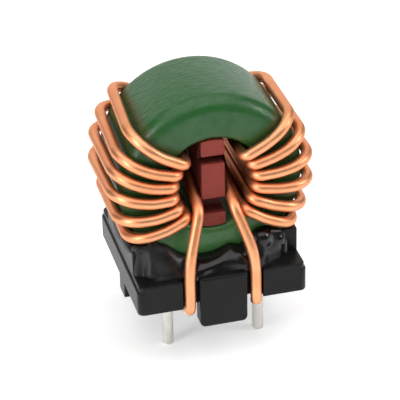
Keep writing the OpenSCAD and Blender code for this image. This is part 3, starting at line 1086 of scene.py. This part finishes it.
def lumpRings(s, flip):
    rings, st, steps = [], s["stations"], s["arcSteps"]
    y, z = -choke["coreWidth"] / 2, choke["plateTop"]
    for k in range(len(st) - 1):
        near = [st[max(0, min(len(st) - 1, k + i))] for i in (-1, 0, 1, 2)]
        for j in range(s["between"]):
            t = j / s["between"]
            x, h, d, bulge = (throughPoints(*(n[i] for n in near), t) for i in range(4))
            x, h, d = x * choke["cradleHalf"], min(h, 1) * s["top"], min(d, 1) * s["deep"]
            outline = [(x, y + s["tuck"], z - s["tuck"]), (x, y + s["tuck"], z + h)]
            for i in range(steps + 1):
                q = math.pi / 2 * i / steps
                spot = Vector((x * s["wobbleAcross"], q * s["wobbleUp"], flip))
                wobble = 1 + s["wobble"] * noise.noise(spot)
                up = h * math.cos(q) ** bulge
                foot = s["foot"] * max(0, 1 - up / s["footHigh"]) ** 2
                outline.append((x, y - d * wobble * math.sin(q) ** bulge - foot, z + up))
            outline.append((x, y - d - s["foot"], z - s["tuck"]))
            rings.append([Vector((flip * p[0], flip * p[1], p[2])) * mm for p in outline])
    return rings


def spillRings(s):
    rings, n = [], s["spillSteps"]
    x0, x1, top = -choke["cradleHalf"] - s["spillIn"], -choke["wallOutside"], choke["wallTop"]
    inner, lap = x1 + s["spillLap"], s["spillLap"]
    low, high, step = s["spillArc"]
    for i in range(n + 1):
        turn = s["spillEnd"] + (180 - 2 * s["spillEnd"]) * i / n
        swell = math.sin(math.radians(turn)) ** s["spillEase"]
        y = (s["spillFrom"] + s["spillSpan"] * i / n) * choke["coreWidth"]
        t, drop = s["spillThick"] * swell, s["spillDrop"] * swell
        mid = top - s["spillMid"] * drop
        outline = [(x1 + s["tuck"], top - drop), (inner, top - drop)]
        for a in range(low, high + 1, step):
            q = math.radians(a)
            outline.append((inner - (t + lap) * math.cos(q), mid + (top + t - mid) * math.sin(q)))
        outline += [(x0, top + s["spillInTop"] * t), (x0, top - s["tuck"])]
        rings.append([Vector((x, y, z)) * mm for x, z in outline])
    return rings


def addBall(work, place, radius, detail):
    # one in front and, turned round, one behind
    for turn in (0, math.pi):
        turned = Matrix.Rotation(turn, 4, "Z") @ place
        bmesh.ops.create_icosphere(work, subdivisions=detail, radius=radius, matrix=turned)


def makeAdhesive(s):
    work = bmesh.new()
    for rings in (lumpRings(s, 1), lumpRings(s, -1), spillRings(s)):
        loftMesh(work, rings)
    for centre, size, tilt in s["blobs"]:
        lean = Matrix.Rotation(math.radians(tilt), 3, "X")
        blob = Matrix.LocRotScale(Vector(centre) * mm, lean, Vector(size) * mm)
        addBall(work, blob, 1, s["ballDetail"])
    for start, end, radius in s["ridges"]:
        for i in range(s["ridgeSteps"] + 1):
            spot = Vector(start).lerp(Vector(end), i / s["ridgeSteps"])
            addBall(work, Matrix.Translation(spot * mm), radius * mm, s["ballDetail"])
    obj = linkObject("black_adhesive", closedMesh(work, "adhesive"))
    remesh = obj.modifiers.new("oneSkin", "REMESH")
    remesh.mode = "VOXEL"
    remesh.voxel_size = s["voxel"] * mm
    relax = obj.modifiers.new("relax", "SMOOTH")
    relax.factor = s["smoothShare"]
    relax.iterations = s["smooth"]
    return settle(obj, finishes["adhesive"], "black_adhesive")


adhesive = makeAdhesive(glue)
joinToRoot(adhesive, "black_adhesive", "adhesive")
print("adhesive", len(adhesive.data.polygons), "faces")

# the core inside the lacquer keeps its own shape
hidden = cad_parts["ferrite_core"]
hidden.data.materials.clear()
hidden.data.materials.append(finishes["ferrite"])


# floor and light: the floor's size in metres, the rest in millimetres
floorSet = {"height": -4.55, "size": 3.0, "colour": (0.86, 0.86, 0.86, 1), "lift": 0.42}
lampSet = {
    "keyLeft": {
        "place": (-190, -100, 92), "aim": (0, 0, 12), "size": (80, 165), "radiance": 5.8},
    "fillRight": {
        "place": (190, -70, 120), "aim": (0, 0, 12), "size": (75, 105), "radiance": 6.0},
    "overhead": {
        "place": (0, -45, 240), "aim": (0, -45, 12), "size": (320, 350), "radiance": 1.55},
    "backSoft": {
        "place": (40, 270, 112), "aim": (0, 0, 12), "size": (480, 225), "radiance": 1.0},
    "frontLow": {
        "place": (-40, -260, 26), "aim": (0, 0, 12), "size": (240, 44), "radiance": 0.3},
}
worldSet = {"Color": (1, 1, 1, 1), "Strength": 0.12}


def makeFloor(s):
    mesh = bpy.data.meshes.new("floor")
    h, z = s["size"] / 2, s["height"] * mm
    mesh.from_pydata([(-h, -h, z), (h, -h, z), (h, h, z), (-h, h, z)], [], [(0, 1, 2, 3)])
    obj = linkObject("floor", mesh)
    mat = bpy.data.materials.new("paleFloor")
    mat.use_nodes = True
    tree = mat.node_tree
    tree.nodes.clear()
    link = tree.links.new
    diffuse = addNode(tree, "ShaderNodeBsdfDiffuse")
    diffuse.inputs["Color"].default_value = s["colour"]
    # lifted towards white where it is seen or mirrored, and it keeps its shadow
    glow = addNode(tree, "ShaderNodeEmission")
    path = addNode(tree, "ShaderNodeLightPath")
    seen = path.outputs["Is Camera Ray"]
    for other in ("Is Glossy Ray", "Is Transmission Ray"):
        seen = maths(tree, "MAXIMUM", seen, path.outputs[other])
    link(times(tree, seen, s["lift"]), glow.inputs["Strength"])
    both = addNode(tree, "ShaderNodeAddShader")
    link(diffuse.outputs["BSDF"], both.inputs[0])
    link(glow.outputs["Emission"], both.inputs[1])
    out = addNode(tree, "ShaderNodeOutputMaterial")
    link(both.outputs["Shader"], out.inputs["Surface"])
    mesh.materials.append(mat)


def makeLamp(name, s):
    data = bpy.data.lights.new(name, "AREA")
    data.shape = "RECTANGLE"
    data.size, data.size_y = metres(s["size"])
    data.energy = s["radiance"] * math.pi * data.size * data.size_y
    lamp = bpy.data.objects.new(name, data)
    lamp.location = metres(s["place"])
    lamp.rotation_mode = "QUATERNION"
    lamp.rotation_quaternion = (Vector(s["place"]) - Vector(s["aim"])).to_track_quat("Z", "Y")
    scene.collection.objects.link(lamp)


makeFloor(floorSet)
for lampName, lampValues in lampSet.items():
    makeLamp(lampName, lampValues)
world = bpy.data.worlds.new("studio")
world.use_nodes = True
for socketName, socketValue in worldSet.items():
    world.node_tree.nodes["Background"].inputs[socketName].default_value = socketValue
scene.world = world
print("floor and lamps ready")
